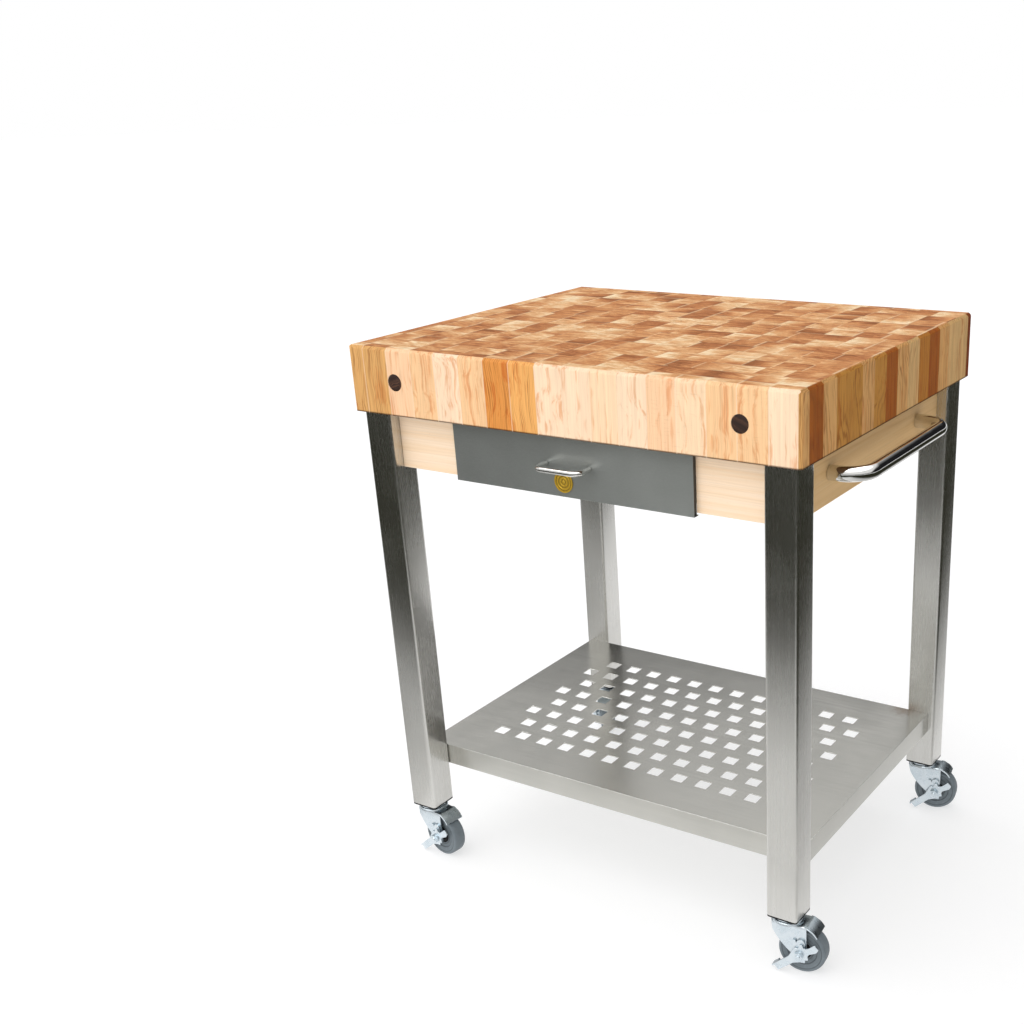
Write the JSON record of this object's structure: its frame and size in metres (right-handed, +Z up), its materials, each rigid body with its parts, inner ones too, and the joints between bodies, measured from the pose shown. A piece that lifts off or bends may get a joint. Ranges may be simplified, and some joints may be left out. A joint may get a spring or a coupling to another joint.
{
  "type": "kitchen island cart",
  "caption": "Rolling kitchen island: thick end-grain maple block on square stainless legs, with a steel drawer, perforated lower shelf, towel bar and braked swivel casters.",
  "frame": {"origin": "on the floor, at the middle of the footprint's bounding box", "axes": "+Z up, -Y the drawer side (front), +X the towel bar side (right)"},
  "size_m": [0.7932, 0.622, 0.889],
  "materials": {
    "maple_end_grain": "oiled end grain, satin",
    "maple": "clear satin",
    "walnut": "oiled",
    "brushed_stainless": "brushed along the tube, satin",
    "sheet_steel": "grey-green satin sheet",
    "polished_steel": "polished",
    "zinc": "bright zinc plate",
    "grey_rubber": "matt",
    "dark_plastic": "moulded",
    "brass": "stamped, satin"
  },
  "bodies": {
    "frame": {"apron_back": "maple", "apron_front_left": "maple", "apron_front_right": "maple", "apron_left": "maple", "apron_right": "maple", "butcher_block": "maple_end_grain", "caster_socket_back_left": "dark_plastic", "caster_socket_back_right": "dark_plastic", "caster_socket_front_left": "dark_plastic", "caster_socket_front_right": "dark_plastic", "caster_stem_back_left": "zinc", "caster_stem_back_right": "zinc", "caster_stem_front_left": "zinc", "caster_stem_front_right": "zinc", "drawer_support_left": "maple", "drawer_support_right": "maple", "leg_back_left": "brushed_stainless", "leg_back_right": "brushed_stainless", "leg_front_left": "brushed_stainless", "leg_front_right": "brushed_stainless", "plug_back_left": "walnut", "plug_back_right": "walnut", "plug_front_left": "walnut", "plug_front_right": "walnut", "runner_outer_left": "zinc", "runner_outer_right": "zinc", "shelf": "brushed_stainless", "tie_rod_left": "zinc", "tie_rod_right": "zinc", "towel_bar": "polished_steel", "towel_bar_screw_back": "zinc", "towel_bar_screw_front": "zinc"},
    "drawer": {"drawer_badge": "brass", "drawer_box": "sheet_steel", "drawer_front": "sheet_steel", "drawer_pull": "polished_steel", "pull_screw_left": "zinc", "pull_screw_right": "zinc", "runner_inner_left": "zinc", "runner_inner_right": "zinc"},
    "fork_front_left": {"caster_fork_front_left": "zinc", "caster_axle_front_left": "zinc"},
    "wheel_front_left": {"wheel_tyre_front_left": "grey_rubber", "wheel_core_front_left": "dark_plastic"},
    "brake_front_left": {"caster_brake_front_left": "zinc"},
    "fork_front_right": {"caster_fork_front_right": "zinc", "caster_axle_front_right": "zinc"},
    "wheel_front_right": {"wheel_tyre_front_right": "grey_rubber", "wheel_core_front_right": "dark_plastic"},
    "brake_front_right": {"caster_brake_front_right": "zinc"},
    "fork_back_right": {"caster_fork_back_right": "zinc", "caster_axle_back_right": "zinc"},
    "wheel_back_right": {"wheel_tyre_back_right": "grey_rubber", "wheel_core_back_right": "dark_plastic"},
    "brake_back_right": {"caster_brake_back_right": "zinc"},
    "fork_back_left": {"caster_fork_back_left": "zinc", "caster_axle_back_left": "zinc"},
    "wheel_back_left": {"wheel_tyre_back_left": "grey_rubber", "wheel_core_back_left": "dark_plastic"},
    "brake_back_left": {"caster_brake_back_left": "zinc"}
  },
  "joints": [
    {"name": "drawer_slide", "type": "slide", "parent": "frame", "child": "drawer", "axis": [0, -1, 0], "range_m": [0, 0.34]},
    {"name": "swivel_front_left", "type": "hinge", "parent": "frame", "child": "fork_front_left", "pos_m": [-0.36165, -0.2636, 0.09], "axis": [0, 0, 1], "continuous": true},
    {"name": "roll_front_left", "type": "hinge", "parent": "fork_front_left", "child": "wheel_front_left", "pos_m": [-0.33689, -0.26708, 0.0375], "axis": [0.1392, 0.9903, 0], "continuous": true},
    {"name": "brake_pedal_front_left", "type": "hinge", "parent": "fork_front_left", "child": "brake_front_left", "pos_m": [-0.33689, -0.26708, 0.0375], "axis": [0.1392, 0.9903, 0], "range_deg": [0, 28]},
    {"name": "swivel_front_right", "type": "hinge", "parent": "frame", "child": "fork_front_right", "pos_m": [0.33035, -0.2636, 0.09], "axis": [0, 0, 1], "continuous": true},
    {"name": "roll_front_right", "type": "hinge", "parent": "fork_front_right", "child": "wheel_front_right", "pos_m": [0.35521, -0.26099, 0.0375], "axis": [-0.1045, 0.9945, 0], "continuous": true},
    {"name": "brake_pedal_front_right", "type": "hinge", "parent": "fork_front_right", "child": "brake_front_right", "pos_m": [0.35521, -0.26099, 0.0375], "axis": [-0.1045, 0.9945, 0], "range_deg": [0, 28]},
    {"name": "swivel_back_right", "type": "hinge", "parent": "frame", "child": "fork_back_right", "pos_m": [0.33035, 0.276, 0.09], "axis": [0, 0, 1], "continuous": true},
    {"name": "roll_back_right", "type": "hinge", "parent": "fork_back_right", "child": "wheel_back_right", "pos_m": [0.35489, 0.28077, 0.0375], "axis": [-0.1908, 0.9816, 0], "continuous": true},
    {"name": "brake_pedal_back_right", "type": "hinge", "parent": "fork_back_right", "child": "brake_back_right", "pos_m": [0.35489, 0.28077, 0.0375], "axis": [-0.1908, 0.9816, 0], "range_deg": [0, 28]},
    {"name": "swivel_back_left", "type": "hinge", "parent": "frame", "child": "fork_back_left", "pos_m": [-0.36165, 0.276, 0.09], "axis": [0, 0, 1], "continuous": true},
    {"name": "roll_back_left", "type": "hinge", "parent": "fork_back_left", "child": "wheel_back_left", "pos_m": [-0.34915, 0.25435, 0.0375], "axis": [0.866, 0.5, 0], "continuous": true},
    {"name": "brake_pedal_back_left", "type": "hinge", "parent": "fork_back_left", "child": "brake_back_left", "pos_m": [-0.34915, 0.25435, 0.0375], "axis": [0.866, 0.5, 0], "range_deg": [0, 28]}
  ]
}
